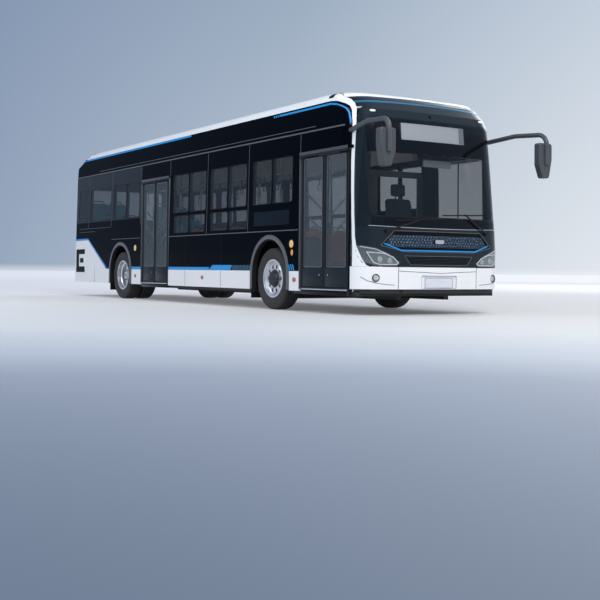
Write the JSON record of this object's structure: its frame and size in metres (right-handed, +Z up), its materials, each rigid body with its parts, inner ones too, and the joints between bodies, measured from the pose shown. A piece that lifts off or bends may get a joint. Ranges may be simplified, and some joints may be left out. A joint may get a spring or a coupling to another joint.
{
  "type": "low-floor electric city bus",
  "caption": "Low-floor electric city bus with two double inward-gliding doors, a bowed dark front, white skirts and roof edge, and twin rear wheels.",
  "frame": {"origin": "on the road, below the middle of the whole bus with its mirrors", "axes": "+X towards the front of the bus, +Y towards the driver (left) side, +Z up"},
  "size_m": [12.162, 3.042, 3.175],
  "materials": {
    "body_paint": "gloss",
    "white_paint": "gloss",
    "mask_gloss": "gloss",
    "tinted_glass": "gloss",
    "clear_glass": "gloss",
    "door_glass": "gloss",
    "lamp_glass": "gloss",
    "sign_face": "matte",
    "roof_lining": "satin",
    "unit_cover": "satin",
    "liner_plastic": "matte",
    "floor_metal": "satin",
    "cast_metal": "matte",
    "mirror_plastic": "satin",
    "wiper_black": "matte",
    "lamp_amber": "gloss",
    "dash_plastic": "matte",
    "driver_fabric": "woven",
    "partition_panel": "satin",
    "seat_orange": "satin",
    "seat_cyan": "satin",
    "stainless": "brushed",
    "duct_cream": "satin",
    "tyre_rubber": "matte",
    "rim_aluminium": "polished",
    "wheel_leather": "satin",
    "hatch_plastic": "satin",
    "door_metal": "anodised"
  },
  "bodies": {
    "root": {"side_wall_right": "body_paint", "side_wall_left": "body_paint", "rear_wall": "body_paint", "windows": "tinted_glass", "front_mask": "mask_gloss", "windshield": "clear_glass", "headlamps": "lamp_glass", "sign_boards": "sign_face", "roof": "roof_lining", "roof_fairings": "white_paint", "roof_units": "unit_cover", "lower_panels": "white_paint", "wheel_arches": "liner_plastic", "floor": "floor_metal", "drive_block": "cast_metal", "axle_front": "cast_metal", "axle_rear": "cast_metal", "mirrors": "mirror_plastic", "wipers": "wiper_black", "signal_lamps": "lamp_amber", "dash": "dash_plastic", "driver_seat": "driver_fabric", "cab_partition": "partition_panel", "passenger_seats_front": "seat_orange", "passenger_seats_rear": "seat_cyan", "handrails": "stainless", "ceiling_ducts": "duct_cream"},
    "knuckle_left": {"knuckle_left": "cast_metal"},
    "wheel_front_left": {"tyre_front_left": "tyre_rubber", "rim_front_left": "rim_aluminium"},
    "wheels_rear_left": {"tyres_rear_left": "tyre_rubber", "rim_rear_left": "rim_aluminium"},
    "knuckle_right": {"knuckle_right": "cast_metal"},
    "wheel_front_right": {"tyre_front_right": "tyre_rubber", "rim_front_right": "rim_aluminium"},
    "wheels_rear_right": {"tyres_rear_right": "tyre_rubber", "rim_rear_right": "rim_aluminium"},
    "steering_wheel": {"steering_wheel": "wheel_leather"},
    "cab_door": {"cab_door": "partition_panel"},
    "rear_lid": {"rear_lid": "body_paint"},
    "roof_hatch": {"roof_hatch": "hatch_plastic"},
    "front_door_column_rear": {"front_door_column_rear": "door_metal"},
    "front_door_leaf_rear": {"front_door_leaf_rear": "door_metal", "front_door_pane_rear": "door_glass"},
    "front_door_column_fore": {"front_door_column_fore": "door_metal"},
    "front_door_leaf_fore": {"front_door_leaf_fore": "door_metal", "front_door_pane_fore": "door_glass"},
    "middle_door_column_rear": {"middle_door_column_rear": "door_metal"},
    "middle_door_leaf_rear": {"middle_door_leaf_rear": "door_metal", "middle_door_pane_rear": "door_glass"},
    "middle_door_column_fore": {"middle_door_column_fore": "door_metal"},
    "middle_door_leaf_fore": {"middle_door_leaf_fore": "door_metal", "middle_door_pane_fore": "door_glass"}
  },
  "joints": [
    {"name": "steer_left", "type": "hinge", "parent": "root", "child": "knuckle_left", "pos_m": [2.825, 0.985, 0.4785], "axis": [0, 0, 1], "range_deg": [-45, 45]},
    {"name": "steer_right", "type": "hinge", "parent": "root", "child": "knuckle_right", "pos_m": [2.825, -0.985, 0.4785], "axis": [0, 0, 1], "range_deg": [-45, 45]},
    {"name": "front_wheel_left", "type": "hinge", "parent": "knuckle_left", "child": "wheel_front_left", "pos_m": [2.825, 1.09, 0.4785], "axis": [0, 1, 0], "continuous": true},
    {"name": "front_wheel_right", "type": "hinge", "parent": "knuckle_right", "child": "wheel_front_right", "pos_m": [2.825, -1.09, 0.4785], "axis": [0, 1, 0], "continuous": true},
    {"name": "rear_wheels_left", "type": "hinge", "parent": "root", "child": "wheels_rear_left", "pos_m": [-3.225, 0.94, 0.4785], "axis": [0, 1, 0], "continuous": true},
    {"name": "rear_wheels_right", "type": "hinge", "parent": "root", "child": "wheels_rear_right", "pos_m": [-3.225, -0.94, 0.4785], "axis": [0, 1, 0], "continuous": true},
    {"name": "steering_wheel_turn", "type": "hinge", "parent": "root", "child": "steering_wheel", "pos_m": [4.465, 0.62, 1.205], "axis": [-0.4695, 0, 0.8829], "range_deg": [-810, 810]},
    {"name": "cab_door_hinge", "type": "hinge", "parent": "root", "child": "cab_door", "pos_m": [3.566, 0.07, 0.9], "axis": [0, 0, -1], "range_deg": [0, 85]},
    {"name": "rear_lid_hinge", "type": "hinge", "parent": "root", "child": "rear_lid", "pos_m": [-6.066, 0, 1.504], "axis": [0, 1, 0], "range_deg": [0, 75]},
    {"name": "roof_hatch_hinge", "type": "hinge", "parent": "root", "child": "roof_hatch", "pos_m": [-0.677, 0, 2.96], "axis": [0, -1, 0], "range_deg": [0, 60]},
    {"name": "front_door_column_rear_turn", "type": "hinge", "parent": "root", "child": "front_door_column_rear", "pos_m": [3.72, -1.195, 1.3], "axis": [0, 0, 1], "range_deg": [0, 90]},
    {"name": "front_door_leaf_rear_turn", "type": "hinge", "parent": "front_door_column_rear", "child": "front_door_leaf_rear", "pos_m": [4.049, -1.195, 1.3], "axis": [0, 0, 1], "range_deg": [-180, 0]},
    {"name": "front_door_column_fore_turn", "type": "hinge", "parent": "root", "child": "front_door_column_fore", "pos_m": [4.98, -1.195, 1.3], "axis": [0, 0, 1], "range_deg": [-90, 0]},
    {"name": "front_door_leaf_fore_turn", "type": "hinge", "parent": "front_door_column_fore", "child": "front_door_leaf_fore", "pos_m": [4.651, -1.195, 1.3], "axis": [0, 0, 1], "range_deg": [0, 180]},
    {"name": "middle_door_column_rear_turn", "type": "hinge", "parent": "root", "child": "middle_door_column_rear", "pos_m": [-2.142, -1.195, 1.3], "axis": [0, 0, 1], "range_deg": [0, 90]},
    {"name": "middle_door_leaf_rear_turn", "type": "hinge", "parent": "middle_door_column_rear", "child": "middle_door_leaf_rear", "pos_m": [-1.82275, -1.195, 1.3], "axis": [0, 0, 1], "range_deg": [-180, 0]},
    {"name": "middle_door_column_fore_turn", "type": "hinge", "parent": "root", "child": "middle_door_column_fore", "pos_m": [-0.921, -1.195, 1.3], "axis": [0, 0, 1], "range_deg": [-90, 0]},
    {"name": "middle_door_leaf_fore_turn", "type": "hinge", "parent": "middle_door_column_fore", "child": "middle_door_leaf_fore", "pos_m": [-1.24025, -1.195, 1.3], "axis": [0, 0, 1], "range_deg": [0, 180]}
  ],
  "couplings": [
    {"joint": "steer_right", "follows": "steer_left", "ratio": 1},
    {"joint": "steering_wheel_turn", "follows": "steer_left", "ratio": 18},
    {"joint": "front_door_leaf_rear_turn", "follows": "front_door_column_rear_turn", "ratio": -2},
    {"joint": "front_door_column_fore_turn", "follows": "front_door_column_rear_turn", "ratio": -1},
    {"joint": "front_door_leaf_fore_turn", "follows": "front_door_column_rear_turn", "ratio": 2},
    {"joint": "middle_door_leaf_rear_turn", "follows": "middle_door_column_rear_turn", "ratio": -2},
    {"joint": "middle_door_column_fore_turn", "follows": "middle_door_column_rear_turn", "ratio": -1},
    {"joint": "middle_door_leaf_fore_turn", "follows": "middle_door_column_rear_turn", "ratio": 2}
  ]
}
